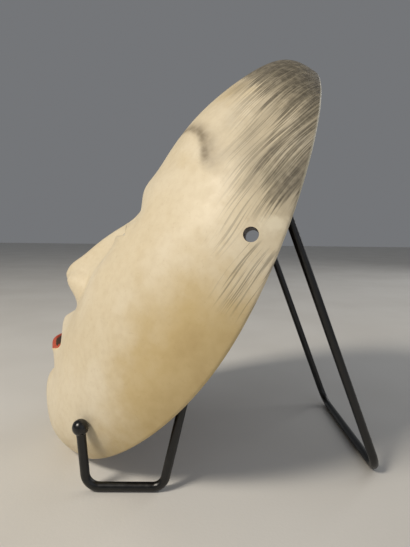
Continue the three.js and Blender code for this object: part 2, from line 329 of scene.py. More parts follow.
@dataclass(frozen=True)
class Eye:
    """A narrow eye: a leaf-shaped opening between two lids, with the eyeball recessed in it."""

    x: float = 27.5
    v: float = 97.0
    half_width: float = 12.6
    upper: float = 3.3
    lower: float = 2.4
    slant: float = math.radians(4)
    depth: float = 1.7
    corner_depth: float = 0.5
    edge: float = 0.75
    lid: float = 0.55
    crease_at: float = 4.4
    crease: float = 0.8
    pupil_x: float = 26.6
    pupil_v: float = 96.8
    pupil: float = 2.5
    iris_rise: float = 0.3
    upper_ink: float = 0.48
    upper_ink_rise: float = 0.1
    lower_ink: float = 0.24

    def along(self, x: np.ndarray, v: np.ndarray) -> tuple[np.ndarray, np.ndarray]:
        """Turns places on the face into places on the slanting eye.

        Args:
            x: Places across the face.
            v: Places up the face.

        Returns:
            Places along and across the eye.
        """
        across, up = np.abs(x) - self.x, v - self.v
        c, s = math.cos(self.slant), math.sin(self.slant)
        return across * c + up * s, up * c - across * s

    def lids(self, along: np.ndarray) -> tuple[np.ndarray, np.ndarray]:
        """Returns the heights of the upper and the lower lid's edge."""
        span = np.clip(1 - (along / self.half_width) ** 2, 0, 1)
        return self.upper * span**0.75, -self.lower * span**0.9

    def inside(self, x: np.ndarray, v: np.ndarray) -> np.ndarray:
        """Measures how far places lie inside the opening.

        Args:
            x: Places across the face.
            v: Places up the face.

        Returns:
            Distances, negative outside.
        """
        along, up = self.along(x, v)
        top, bottom = self.lids(along)
        return np.minimum(top - up, up - bottom) - np.clip(np.abs(along) - self.half_width, 0, None)

    def above(self, x: np.ndarray, v: np.ndarray) -> np.ndarray:
        """Returns the height of a place over the upper lid's edge."""
        along, up = self.along(x, v)
        return up - self.lids(along)[0]

    def below(self, x: np.ndarray, v: np.ndarray) -> np.ndarray:
        """Returns the depth of a place under the lower lid's edge."""
        along, up = self.along(x, v)
        return self.lids(along)[1] - up

    def ink(self, x: np.ndarray, off: np.ndarray, v: np.ndarray, half: float) -> np.ndarray:
        """Returns how far a place lies inside a lid's inked line, which thins out at both ends.

        Args:
            x: Places across the face.
            off: Distances from the line's middle.
            v: Places up the face.
            half: Half the line's width in its middle.

        Returns:
            Distances, negative outside.
        """
        reach = np.abs(self.along(x, v)[0]) / self.half_width
        width = half * (1 - smooth(reach, 0.7, 1.12))
        return width - np.abs(off) - 2 * np.clip(reach - 1.08, 0, None)

    def relief(self, x: np.ndarray, v: np.ndarray) -> np.ndarray:
        """Works out the carved lids, crease and recessed eyeball.

        Args:
            x: Places across the face.
            v: Places up the face.

        Returns:
            What they add to the face's height.
        """
        along, _ = self.along(x, v)
        reach = np.abs(along) / self.half_width
        sunk = self.depth + self.corner_depth * reach**2
        ends = 1 - smooth(reach, 0.9, 1.25)
        upper = self.lid * bell(self.above(x, v), 0.9, 1.1)
        lower = 0.6 * self.lid * bell(self.below(x, v), 0.9, 1.0)
        crease = self.crease * bell(self.above(x, v), self.crease_at, 0.85) * (1 - smooth(reach, 0.6, 1.3))
        return (upper + lower) * ends - crease - sunk * smooth(self.inside(x, v), -0.1, self.edge)


@dataclass(frozen=True)
class Mouth:
    """A slightly open mouth: a recess with a row of upper teeth over a slit that goes through."""

    v: float = 41.0
    half_width: float = 20.0
    top: float = 4.7
    bottom: float = 4.7
    bow: float = 0.13
    depth: float = 5.4
    tooth: float = 5.3
    teeth: int = 6
    teeth_depth: float = 2.3
    teeth_low: float = -0.7
    lip: float = 5.0
    lip_past: float = 0.8
    lip_ridge: float = 0.35
    lip_body: float = 0.9

    def edges(self, x: np.ndarray) -> tuple[np.ndarray, np.ndarray]:
        """Returns the heights of the opening's upper and lower edge over the mouth's line."""
        span = np.clip(1 - (x / self.half_width) ** 2, 0, 1)
        return self.top * span**0.8 * (1 - self.bow * bell(x, 0, 3.5)), -self.bottom * span**0.85

    def inside(self, x: np.ndarray, v: np.ndarray) -> np.ndarray:
        """Measures how far places lie inside the opening.

        Args:
            x: Places across the face.
            v: Places up the face.

        Returns:
            Distances, negative outside.
        """
        top, bottom = self.edges(x)
        up = v - self.v
        return np.minimum(top - up, up - bottom) - np.clip(np.abs(x) - self.half_width, 0, None)

    def red(self, x: np.ndarray, v: np.ndarray) -> np.ndarray:
        """Measures how far places lie inside the painted lower lip.

        Args:
            x: Places across the face.
            v: Places up the face.

        Returns:
            Distances, negative outside.
        """
        bottom = self.edges(x)[1]
        up = v - self.v
        half = self.half_width + self.lip_past
        span = np.clip(1 - (x / half) ** 2, 0, 1)
        band = np.minimum(up - bottom + self.lip * span**0.7, bottom + 1.2 * span**0.4 - up)
        return np.minimum(band, half - np.abs(x))

    def dental(self, x: np.ndarray, v: np.ndarray) -> tuple[np.ndarray, np.ndarray]:
        """Finds the teeth.

        Args:
            x: Places across the face.
            v: Places up the face.

        Returns:
            How much of a tooth stands at each place, and the place across that tooth from -1 to 1.
        """
        cell = x / self.tooth
        across = 2 * (cell - np.floor(cell)) - 1
        low = self.teeth_low + 0.55 * across**2
        half = self.teeth * self.tooth / 2
        return smooth(v - self.v - low, -0.15, 0.6) * (1 - smooth(np.abs(x), half - 0.4, half)), across

    def relief(self, x: np.ndarray, v: np.ndarray) -> np.ndarray:
        """Works out the recess, the teeth and the lower lip.

        Args:
            x: Places across the face.
            v: Places up the face.

        Returns:
            What they add to the face's height.
        """
        tooth, across = self.dental(x, v)
        row = (self.depth - self.teeth_depth - 0.9 * across**4 - 0.012 * x**2) * tooth
        hollow = smooth(self.inside(x, v), -0.2, 1.5)
        fade = 1 - smooth(np.abs(x), 12, 20)
        ridge = self.lip_ridge * bell(self.red(x, v), -0.3, 0.7) * fade
        ridge = ridge + self.lip_body * bell(self.edges(x)[1] + self.v - v, 2.3, 2.0) * fade
        return ridge - (self.depth - row) * hollow


@dataclass(frozen=True)
class Nose:
    """The nose: a ridge that grows from root to tip, with wings and grooves behind them."""

    top: float = 122.0
    fade: float = 18.0
    root: float = 114.0
    tip: float = 67.0
    base: tuple[float, float] = (55.0, 64.0)
    rise: float = 11.5
    slim: float = 6.5
    spread: float = 4.5
    spread_from: float = 102.0
    spread_to: float = 68.0
    wing: Swelling = Swelling(11, 64.5, 4.8, 5.5, 5)
    wing_base: tuple[float, float] = (55.0, 62.0)
    groove: float = 0.9
    groove_half_width: float = 6.4
    groove_half_height: float = 7.2
    groove_drop: float = 0.5

    def relief(self, x: np.ndarray, v: np.ndarray) -> np.ndarray:
        """Works out the ridge, the wings and the grooves.

        Args:
            x: Places across the face.
            v: Places up the face.

        Returns:
            What they add to the face's height.
        """
        side = np.abs(x)
        grown = 1 - smooth(v, self.tip, self.root)
        width = self.slim + self.spread * (1 - smooth(v, self.spread_to, self.spread_from))
        ridge = (1 + self.rise * grown) * bell(x, 0, width)
        ends = smooth(v, *self.base) * smooth(self.top - v, 0, self.fade)
        wing = self.wing.height(x, v) * smooth(v, *self.wing_base)
        low = self.wing.v - self.groove_drop
        ring = np.hypot((side - self.wing.x) / self.groove_half_width, (v - low) / self.groove_half_height)
        behind = smooth(side, 12.5, 15) * smooth(v, 57, 60) + 0.6 * smooth(v, 67, 70) * smooth(side, 7, 10)
        return ridge * ends + wing - self.groove * bell(ring, 1.0, 0.17) * np.clip(behind, 0, 1)


@dataclass(frozen=True)
class Carving:
    """Outline, hollow and relief of the mask, in its own frame."""

    height: float = 198.0
    width: float = 138.0
    dome: float = 30.5
    dome_power: float = 0.56
    sweep: float = 28.0
    sweep_fade: float = 0.38
    sweep_across: float = 1.35
    sweep_soft: float = 0.2
    sweep_rise: float = 4.0
    jaw_square: float = 2.35
    crown_square: float = 2.2
    jaw_narrow: float = 0.14
    crown_narrow: float = 0.05
    wall: float = 7.5
    hollow_relief: float = 0.4
    gather: float = 0.8
    rim_crowd: float = 0.75
    rim_round: float = 1.3
    swellings: tuple[Swelling, ...] = (
        Swelling(0, 150, 50, 33, 4),
        Swelling(20, 116, 16, 7, 1.6),
        Swelling(0, 105, 8, 9, -1.6),
        Swelling(24, 100, 17, 12, -5.5),
        Swelling(27.5, 97.5, 12.5, 7.5, 4.6),
        Swelling(40, 74, 20, 24, 3.2),
        Swelling(0, 42, 24, 17, 4),
        Swelling(0, 67, 7.5, 6.5, 2.2),
        Swelling(0, 53, 3.2, 5, -0.9),
        Swelling(0, 46.8, 17, 3.6, 2.4),
        Swelling(0, 33.6, 15, 4.3, 3.4),
        Swelling(0, 26, 17, 4.6, -2.6),
        Swelling(0, 15.5, 17, 9.5, 4.4),
    )
    nose: Nose = Nose()
    eye: Eye = Eye()
    mouth: Mouth = Mouth()

    def broad(self, x: np.ndarray, v: np.ndarray) -> np.ndarray:
        """Returns the broad relief, which the hollow follows too."""
        return sum(s.height(x, v) for s in self.swellings) + self.nose.relief(x, v)

    def fine(self, x: np.ndarray, v: np.ndarray) -> np.ndarray:
        """Returns the fine relief of eyes and mouth."""
        return self.eye.relief(x, v) + self.mouth.relief(x, v)

    def surface(
        self, disk: np.ndarray, hollow: bool, above: float = 0.0, deeper: np.ndarray | float = 0.0
    ) -> np.ndarray:
        """Returns points of the face or of the hollow.

        Args:
            disk: Rows whose first two numbers lie in the unit disk.
            hollow: Whether this is the hollow, which lies inside the face and has less relief.
            above: How far above the rim the disk's edge lies.
            deeper: How much further outward each point is cut.

        Returns:
            Rows of x, v and w.
        """
        inset = (self.wall if hollow else 0.0) - deeper
        p, q = disk[:, 0], disk[:, 1]
        angle = np.arctan2(q, p)
        reach = np.minimum(np.hypot(p, q), 1)
        short = math.asin((above / (self.dome - (self.wall if hollow else 0.0))) ** (1 / self.dome_power))
        slope = (reach + self.rim_crowd * reach**4 * (1 - reach)) * (math.pi / 2 - short)
        edge = np.sin(slope)
        c, s = np.cos(angle), np.sin(angle)
        square = np.where(s > 0, self.crown_square, self.jaw_square)
        stretch = (np.abs(c) ** square + np.abs(s) ** square) ** (-1 / square)
        mixed = 1 + (stretch - 1) * edge**2
        across, up = c * mixed, s * mixed * edge
        taper = 1 - self.jaw_narrow * smooth(-up, 0, 1) - self.crown_narrow * smooth(up, 0, 1)
        x = (self.width / 2 - inset) * across * edge * taper
        v = self.height / 2 + (self.height / 2 - inset) * up
        soft = self.sweep_soft
        swept = np.hypot(across * taper, soft) ** self.sweep_across - soft**self.sweep_across
        back = self.sweep * (1 - self.sweep_fade * up) * swept * edge**self.sweep_rise
        w = (self.dome - inset) * np.maximum(np.cos(slope), 0) ** self.dome_power - back
        relief = self.broad(x, v) * (self.hollow_relief if hollow else 1.0)
        if not hollow:
            relief = relief + self.fine(x, v)
        return np.stack([x, v, w + relief * (1 - edge**6)], axis=1)


@dataclass(frozen=True)
class PaintPlan:
    """Where ink, stains, painted shade and wear lie on the mask, from each point's own place in the mask's
    frame.

    The side is a place's distance from the middle of the face. A density of 0 is none.
    """

    brow_middle: float = 27.0
    brow_height: float = 146.5
    brow_inner_reach: float = 18.0
    brow_outer_reach: float = 25.0
    brow_inner_drop: float = 5.0
    brow_outer_drop: float = 11.0
    hairline_w: float = -2.6
    temple_v: float = 142.0
    temple_bend: float = 0.0215
    temple_slope: float = 0.5
    temple_reach: float = 11.0
    hair_end: float = 131.5
    hair_end_rise: float = 9.0
    parting_v: float = 161.0
    comb_from: float = 110.0
    comb_bend: float = 0.0012
    comb_fan: float = 26.0
    comb_half_width: float = 42.0
    patch_v: float = 122.8
    patch_w: float = -15.5
    bare_edge: tuple[float, float] = (105.0, 150.0)
    bare_past: float = 4.0

    def brow(self, side: np.ndarray, v: np.ndarray) -> np.ndarray:
        """Draws the smudged brows, high on the forehead, as a dark line under a paler veil.

        Args:
            side: Distances from the middle.
            v: Places up the face.

        Returns:
            Their density.
        """
        out = np.clip(side - self.brow_middle, 0, None) / self.brow_outer_reach
        into = np.clip(self.brow_middle - side, 0, None) / self.brow_inner_reach
        line = self.brow_height - self.brow_outer_drop * out**3 - self.brow_inner_drop * into**2
        slope = 3 * self.brow_outer_drop / self.brow_outer_reach * out**2
        off = (v - line) / np.hypot(1, slope)
        ends = smooth(side, 9, 17) * smooth(v, 131, 138)
        core = bell(off, -0.6, 1.5)
        veil = 0.45 * bell(off, 1.6, 2.2)
        return np.clip(core + veil, 0, 1) * ends

    def strands(self, x: np.ndarray, v: np.ndarray, w: np.ndarray) -> np.ndarray:
        """Combs the strands, which bend back over the crown and waver a little.

        Args:
            x: Places across the face.
            v: Places up the face.
            w: Places forward.

        Returns:
            Each place's position across the strands and along them, and its x.
        """
        above = np.clip(v - self.comb_from, 0, None)
        fan = self.comb_fan * np.tanh(np.abs(x) / self.comb_half_width)
        across = w + 0.03 * (v - self.comb_from) + self.comb_bend * above**2 - fan
        wave = 0.5 * np.sin(v / 8 + 0.12 * w) + 0.22 * np.sin(v / 3.7 + 0.3 * w + 0.05 * x)
        return np.stack([across + wave, v, x], axis=1)

    def ahead(self, v: np.ndarray, w: np.ndarray) -> np.ndarray:
        """Measures how far places lie ahead of the hairline, which curves forward over the crown.

        Args:
            v: Places up the face.
            w: Places forward.

        Returns:
            Distances, negative within the hair.
        """
        crown = self.temple_bend * np.clip(v - self.temple_v, 0, None) ** 2
        temple = self.temple_slope * np.clip(self.temple_v - v, 0, self.temple_reach)
        return w - self.hairline_w - crown + temple

    def low_end(self, w: np.ndarray) -> np.ndarray:
        """Returns the height at which the solid hair ends, which is higher by the rim."""
        return self.hair_end + self.hair_end_rise * smooth(-w, 13.5, 17.5)

    def hair(self, v: np.ndarray, w: np.ndarray) -> np.ndarray:
        """Lays the solid hair, thinner along a parting, denser behind the hairline and darker towards the
        top of the crown.

        Args:
            v: Places up the face.
            w: Places forward.

        Returns:
            Its density, up to 1.8.
        """
        ahead, low_end = self.ahead(v, w), self.low_end(w)
        crisp = 1 - 0.5 * smooth(v, 164, 148)
        wide = 0.9 * (1 - smooth(ahead / crisp, -7, 9))
        deep = 0.3 * (1 - smooth(ahead, -20, -4)) * (1 - bell(v, self.parting_v, 13))
        taper = 0.55 * smooth(v, low_end - 4, low_end + 4) + 0.45 * smooth(v, low_end, low_end + 11)
        across = w + 0.1 * (v - self.parting_v + 1)
        parting = bell(v + 0.5 * w, self.parting_v + 1, 8.5) * bell(across, -1, 4.5)
        thin = 1 - 0.4 * parting - 0.15 * bell(v, self.parting_v - 3, 10)
        # The last term makes the hair darker towards the top of the crown.
        return (wide + deep) * taper * thin + 0.6 * smooth(v, 171, 185)

    def wisps(self, v: np.ndarray, w: np.ndarray) -> np.ndarray:
        """Lays the loose strands before the hairline, at its low end and behind the cord hole.

        Args:
            v: Places up the face.
            w: Places forward.

        Returns:
            Their density, up to 1.4.
        """
        ahead, low_end = self.ahead(v, w), self.low_end(w)
        reach = smooth(v, 118, 142)
        ends = smooth(v, 108, 119) * (1 - smooth(ahead, 3 + 2 * reach, 11 + 7 * reach))
        front = ends * smooth(w, -9.5, -6.5)
        tips = smooth(v, low_end - 7, low_end) * (1 - smooth(ahead, 3, 9))
        low = 1.4 * (1 - smooth(w, -13.5, -10)) * smooth(v, 95, 105) * (1 - smooth(v, 119, 124))
        return np.clip(np.maximum.reduce([front, low, tips]), 0, 1.4)

    def veil(self, v: np.ndarray, w: np.ndarray) -> np.ndarray:
        """Returns the density of the thin wash before the hairline."""
        return smooth(v, 122, 142) * (1 - smooth(self.ahead(v, w), 3, 25))

    def age(self, side: np.ndarray, v: np.ndarray, w: np.ndarray) -> np.ndarray:
        """Darkens the ground, most towards the lower rear of the jaw, where it is stain and painted shade.

        Args:
            side: Distances from the middle.
            v: Places up the face.
            w: Places forward.

        Returns:
            How far stain and painted shade have darkened it.
        """
        # Stain and painted shade, darkest on the lower rear of the jaw, which turns down and back.
        behind = w - 2 + 12 * (1 - smooth(v, 40, 66))
        jaw = (1 - smooth(behind, -19, 22)) * (1 - smooth(v, 84, 130))
        # Darker below the brow's outer end, by the hairline and a little towards the top.
        brow = 0.42 * bell(side, 43, 8) * bell(v, 133, 4.5)
        hairline = 0.4 * bell(w - 22, 0, 7) * bell(v, 166, 9)
        return jaw + brow + hairline + 0.12 * smooth(v, 150, 190)

    def patch(self, v: np.ndarray, w: np.ndarray) -> np.ndarray:
        """Returns the density of the rubbed patch behind the cord hole."""
        return 0.85 * bell(v + 0.4 * w, self.patch_v, 4.2) * bell(w, self.patch_w, 4.4)

    def edge(self, v: np.ndarray, height: np.ndarray) -> np.ndarray:
        """Returns the height over the rim, raised below the crown, where the edge isn't rubbed bare."""
        return height + self.bare_past * (1 - smooth(v, *self.bare_edge))


class Surface(Enum):
    """Material slots of the mask's mesh."""

    PAINT = 0
    WOOD = 1
    EDGE = 2


@dataclass(frozen=True)
class AgedShellPaint:
    """Shell-white paint over primer, polished and yellowed with time to ivory, with ink and red lacquer on
    it.

    Crushed shell in glue dries to a soft satin skin. It yellows in broad clouds, and towards the lower
    rear of the jaw it darkens to amber and brown, partly as stain and partly as painted shade. The ink
    of the hair is brushed on thin, in strands that break up and fade, and handling has rubbed it off
    the edge of the crown.
    """

    ivory: str = "#E2D4B6"
    pale: str = "#E9DDC3"
    amber: str = "#CDB684"
    stain_and_shade: str = "#A98C58"
    ink: str = "#3F382C"
    ink_grey: str = "#575042"
    faded: str = "#A39A80"
    brow: str = "#5C4B32"
    line: str = "#17130F"
    red: str = "#C0401A"
    shaded_red: str = "#7A2410"
    lip_crest_highlight: str = "#EFDDB0"
    white: str = "#E4DDCB"
    tooth: str = "#E9E2CE"
    mouth_recess_shade: str = "#120D0A"
    rubbed: str = "#D8CEB2"
    chalk: str = "#F2E7CC"
    cloud_mm: float = 34.0
    patch_mm: float = 9.0
    mottle_mm: float = 2.6
    speck_mm: float = 1.1
    strand_mm: float = 0.6
    lock_mm: float = 2.6
    strand_length_mm: float = 26.0
    wash_mm: float = 7.0
    wash_length_mm: float = 20.0
    blot_mm: float = 2.2
    brow_mm: float = 3.2
    lip_mm: float = 1.6
    chalk_mm: float = 3.0
    sheen_mm: float = 7.0
    iris_mm: float = 4.1
    skin_grain_mm: float = 2.4
    skin_depth_mm: float = 0.05
    brush_scale: tuple[float, float, float] = (900.0, 260.0, 260.0)
    brush_depth_mm: float = 0.035

    def ground(self, d: Dressing) -> Socket:
        """Paints the ground coat, with its stains and the painted shade on the jaw.

        Args:
            d: The material's dressing.

        Returns:
            The colour so far.
        """
        colour = d.add(Step.OVER, d.spots(self.cloud_mm, 3.0, 0.36, 0.66), self.ivory, self.pale)
        stored = d.add(Step.STORED, attribute_name="age")
        aged_and_shaded = d.add(Step.ADD, stored, d.spots(self.patch_mm, 4.0, 0.3, 0.75, -0.12, 0.14))
        # Stains all over, and painted shade on the lower rear of the jaw, darken the ground to amber and
        # brown.
        colour = d.add(Step.OVER, d.add(Step.RAMP, aged_and_shaded, 0.0, 1.0), colour, self.amber)
        colour = d.add(Step.OVER, d.add(Step.RAMP, aged_and_shaded, 0.85, 1.4, 0.0, 0.6), colour, self.stain_and_shade)
        colour = d.add(Step.OVER, d.spots(self.mottle_mm, 4.0, 0.35, 0.75, 0.0, 0.11), colour, self.stain_and_shade)
        return d.add(Step.OVER, d.spots(self.speck_mm, 3.0, 0.58, 0.74, 0.0, 0.12), colour, self.stain_and_shade)

    def hair(self, d: Dressing, colour: Socket) -> Socket:
        """Brushes the ink hair: a wash, the locks, worn light hairs, dark hairs and loose strands.

        Args:
            d: The material's dressing.
            colour: The colour under it.

        Returns:
            The colour so far.
        """
        place = d.add(Step.STORED_ROW, attribute_name="strand")
        dense, wisps, veil = (d.add(Step.STORED, attribute_name=name) for name in ("hair", "wisps", "veil"))
        long, short = self.strand_length_mm, 0.4 * self.strand_length_mm
        streaks = (
            d.streaks(place, (1 / self.strand_mm, 1 / long, 0.02), 1.5),
            d.streaks(place, (1 / self.lock_mm, 0.6 / long, 0.02), 1.5),
            d.streaks(place, (1.6 / self.strand_mm, 1 / short, 0.05), 2.0),
        )
        fine, lock, hairs = (d.add(Step.RAMP, noise, 0.34, 0.66) for noise in streaks)
        wash = d.streaks(place, (1 / self.wash_mm, 1 / self.wash_length_mm, 0.05), 2.0)
        washed = d.add(Step.TIMES, veil, d.add(Step.RAMP, wash, 0.3, 0.7, 0.1, 0.4))
        colour = d.add(Step.OVER, washed, colour, self.ink_grey)
        uneven = d.add(Step.ADD, d.add(Step.TIMES, fine, 0.6), d.add(Step.TIMES, lock, 0.4))
        amount = d.add(Step.ADD, d.add(Step.TIMES, uneven, 0.9), d.add(Step.TIMES, dense, 1.2))
        thin = d.add(Step.RAMP, amount, 0.9, 1.45, 0.0, 0.56)
        thick = d.add(Step.RAMP, amount, 1.35, 2.25, 0.0, 0.32)
        blots = d.spots(self.blot_mm, 3.0, 0.32, 0.68, 0.84, 1.14)
        body = d.add(Step.TIMES, d.add(Step.ADD, thin, thick), blots)
        colour = d.add(Step.OVER, body, colour, self.ink_grey)
        between = d.add(Step.RAMP, lock, 0.75, 0.25, 0.15, 1.0)
        light = d.add(Step.TIMES, d.add(Step.RAMP, hairs, 0.45, 0.95, 0.1, 0.7), between)
        light = d.add(Step.TIMES, light, d.add(Step.RAMP, dense, 1.25, 1.8, 1.0, 0.35))
        colour = d.add(Step.OVER, d.add(Step.TIMES, light, body), colour, self.faded)
        dark = d.add(Step.TIMES, d.add(Step.RAMP, hairs, 0.45, 0.0, 0.0, 0.6), body)
        colour = d.add(Step.OVER, dark, colour, self.ink)
        lines = d.add(Step.ADD, fine, d.add(Step.TIMES, lock, 0.3))
        lines = d.add(Step.TIMES, d.add(Step.RAMP, lines, 0.58, 1.12, 0.0, 0.36), wisps)
        return d.add(Step.OVER, lines, colour, self.ink_grey)

    def features(self, d: Dressing, colour: Socket) -> Socket:
        """Paints brows, eyes, lid lines, lower lip and teeth, with a painted highlight and painted shade at
        the mouth.

        Args:
            d: The material's dressing.
            colour: The colour under them.

        Returns:
            The colour so far.
        """
        names = ("brow", "eye", "pupil", "upper_line", "lower_line", "red", "mouth", "tooth")
        stored = (d.add(Step.STORED, attribute_name=name) for name in names)
        brow, eye, pupil, upper, lower, red, mouth, tooth = stored
        brow = d.add(Step.TIMES, brow, d.spots(self.brow_mm, 2.0, 0.3, 0.7, 0.7, 1.0))
        colour = d.add(Step.OVER, d.add(Step.TIMES, brow, 0.72), colour, self.brow)
        colour = d.add(Step.OVER, d.add(Step.RAMP, eye, 0.1, 0.4), colour, self.white)
        iris = d.add(Step.RAMP, pupil, self.iris_mm + 0.15, self.iris_mm - 0.15)
        iris = d.add(Step.TIMES, d.add(Step.RAMP, eye, 0.0, 0.3), iris)
        colour = d.add(Step.OVER, iris, colour, self.line)
        upper = d.add(Step.RAMP, upper, -0.1, 0.12)
        lower = d.add(Step.RAMP, lower, -0.08, 0.1, 0.0, 0.6)
        colour = d.add(Step.OVER, d.add(Step.LARGER, upper, lower), colour, self.line)
        # Painted highlight: a pale cream band along the lower lip's crest, just outside the red.
        edge = d.add(Step.TIMES, d.add(Step.RAMP, red, -1.1, -0.5), d.add(Step.RAMP, red, 0.2, -0.1))
        colour = d.add(Step.OVER, d.add(Step.TIMES, edge, 0.7), colour, self.lip_crest_highlight)
        worn = d.spots(self.lip_mm, 3.0, 0.3, 0.62, 0.86, 1.0)
        lip = d.add(Step.TIMES, d.add(Step.RAMP, red, -0.1, 0.15), worn)
        colour = d.add(Step.OVER, lip, colour, self.red)
        # Painted shade: the red darkens where the lip turns down into the mouth.
        deep = d.add(Step.TIMES, d.add(Step.RAMP, red, 0.0, 0.2), d.add(Step.RAMP, mouth, -0.5, 1.2))
        colour = d.add(Step.OVER, deep, colour, self.shaded_red)
        # Painted shade: the mouth's recess and slit are filled with near-black, and the teeth are painted
        # over it.
        inside = d.add(Step.RAMP, mouth, 0.35, 0.9)
        colour = d.add(Step.OVER, inside, colour, self.mouth_recess_shade)
        teeth = d.add(Step.TIMES, inside, d.add(Step.RAMP, tooth, 0.3, 0.7))
        return d.add(Step.OVER, teeth, colour, self.tooth)

    def wear(self, d: Dressing, colour: Socket) -> Socket:
        """Rubs the paint behind the cord hole and along the edge of the crown.

        Args:
            d: The material's dressing.
            colour: The colour of the whole paint.

        Returns:
            The finished colour.
        """
        stored = d.add(Step.STORED, attribute_name="worn")
        worn = d.add(Step.ADD, stored, d.spots(self.chalk_mm, 4.0, 0.3, 0.7, -0.15, 0.15))
        colour = d.add(Step.OVER, d.add(Step.RAMP, worn, 0.2, 0.75, 0.0, 0.85), colour, self.chalk)
        edge = d.add(Step.STORED, attribute_name="edge")
        return d.add(Step.OVER, d.add(Step.RAMP, edge, 1.3, 0.7, 0.0, 0.8), colour, self.rubbed)

    def build(self) -> bpy.types.Material:
        """Makes the material.

        Returns:
            The material.
        """
        d = Dressing("aged_shell_paint")
        colour = self.wear(d, self.features(d, self.hair(d, self.ground(d))))
        brushed = d.streaks(d.place, self.brush_scale, 3.0)
        skin = d.add(Step.BUMP, d.spots(self.skin_grain_mm, 3.0), self.skin_depth_mm * MM)
        return d.finish({
            "Base Color": colour,
            "Roughness": d.spots(self.sheen_mm, 4.0, 0.3, 0.7, 0.44, 0.58),
            "Normal": d.add(Step.BUMP, brushed, self.brush_depth_mm * MM, skin),
            "IOR": 1.5,
            "Coat Weight": 0.06,
            "Coat Roughness": 0.35,
        })


@dataclass(frozen=True)
class LacqueredWood:
    """The hollow: cypress left from the gouge, under a thin dark lacquer that wears brown on the ridges."""

    dark: str = "#3C2718"
    brown: str = "#6B4A2C"
    worn: str = "#A07C50"
    grain_mm: float = 1.4
    grain_stretch: float = 0.12
    grain_depth_mm: float = 0.12
    pore_mm: float = 0.5
    pore_depth_mm: float = 0.05
    wear_mm: float = 4.0

    def build(self) -> bpy.types.Material:
        """Makes the material.

        Returns:
            The material.
        """
        d = Dressing("dark_lacquer_on_cypress")
        along = d.add(Step.STRETCH, d.place, (1.0, self.grain_stretch, self.grain_stretch))
        grain = d.add(Step.NOISE, along, 1 / (self.grain_mm * MM), 4.0)
        colour = d.add(Step.OVER, d.add(Step.RAMP, grain, 0.35, 0.7), self.dark, self.brown)
        ridge = d.add(Step.ADD, d.add(Step.STORED, attribute_name="ridge"), d.spots(self.wear_mm, 4.0))
        colour = d.add(Step.OVER, d.add(Step.RAMP, ridge, 1.1, 1.6, 0.0, 0.75), colour, self.worn)
        rim = d.add(Step.STORED, attribute_name="rim")
        colour = d.add(Step.OVER, d.add(Step.RAMP, rim, 6.0, 0.5, 0.0, 0.35), colour, self.worn)
        relief = d.add(Step.BUMP, grain, self.grain_depth_mm * MM)
        pores = d.spots(self.pore_mm, 2.0)
        return d.finish({
            "Base Color": colour,
            "Roughness": d.add(Step.RAMP, grain, 0.3, 0.7, 0.38, 0.6),
            "Normal": d.add(Step.BUMP, pores, self.pore_depth_mm * MM, relief),
            "IOR": 1.5,
            "Coat Weight": 0.15,
            "Coat Roughness": 0.35,
        })


@dataclass(frozen=True)
class WornEdge:
    """The rim: bare cypress that hands have rubbed smooth, with remnants of the ground coat."""

    wood: str = "#B8976A"
    dark: str = "#94744A"
    coat: str = "#D8C9A6"
    grain_mm: float = 1.6
    grain_stretch: float = 0.15
    grain_depth_mm: float = 0.08
    coat_mm: float = 9.0

    def build(self) -> bpy.types.Material:
        """Makes the material.

        Returns:
            The material.
        """
        d = Dressing("rubbed_cypress_edge")
        along = d.add(Step.STRETCH, d.place, (1.0, self.grain_stretch, self.grain_stretch))
        grain = d.add(Step.NOISE, along, 1 / (self.grain_mm * MM), 4.0)
        colour = d.add(Step.OVER, d.add(Step.RAMP, grain, 0.3, 0.7), self.wood, self.dark)
        colour = d.add(Step.OVER, d.spots(self.coat_mm, 4.0, 0.38, 0.58, 0.0, 0.85), colour, self.coat)
        return d.finish({
            "Base Color": colour,
            "Roughness": d.add(Step.RAMP, grain, 0.3, 0.7, 0.45, 0.62),
            "Normal": d.add(Step.BUMP, grain, self.grain_depth_mm * MM),
            "IOR": 1.5,
        })


@dataclass(frozen=True)
class PowderCoat:
    """Black powder coat on steel wire: satin, with the faint orange peel of melted powder."""

    black: str = "#080808"
    dusty: str = "#191817"
    dust_mm: float = 7.0
    sheen_mm: float = 3.0
    peel_mm: float = 0.9
    peel_depth_mm: float = 0.03
    rough: float = 0.33

    def build(self, name: str) -> bpy.types.Material:
        """Makes the material.

        Args:
            name: Its name.

        Returns:
            The material.
        """
        d = Dressing(name)
        dust = d.spots(self.dust_mm, 4.0, 0.5, 0.75, 0.0, 0.35)
        return d.finish({
            "Base Color": d.add(Step.OVER, dust, self.black, self.dusty),
            "Roughness": d.spots(self.sheen_mm, 3.0, 0.3, 0.7, self.rough - 0.05, self.rough + 0.08),
            "Normal": d.add(Step.BUMP, d.spots(self.peel_mm, 2.0), self.peel_depth_mm * MM),
            "IOR": 1.5,
            "Coat Weight": 0.1,
            "Coat Roughness": 0.25,
        })


@dataclass(frozen=True)
class MattWhitePaint:
    """The pale studio floor: matt white paint with a slight cloudiness."""

    pale: str = "#D9D7D2"
    shade: str = "#CDCAC4"
    cloud_mm: float = 90.0
    grain_mm: float = 1.2
    grain_depth_mm: float = 0.05

    def build(self) -> bpy.types.Material:
        """Makes the material.

        Returns:
            The material.
        """
        d = Dressing("matt_white_floor")
        cloud = d.spots(self.cloud_mm, 2.0, 0.3, 0.7, 0.0, 0.5)
        return d.finish({
            "Base Color": d.add(Step.OVER, cloud, self.pale, self.shade),
            "Roughness": 0.75,
            "Normal": d.add(Step.BUMP, d.spots(self.grain_mm, 2.0), self.grain_depth_mm * MM),
        })


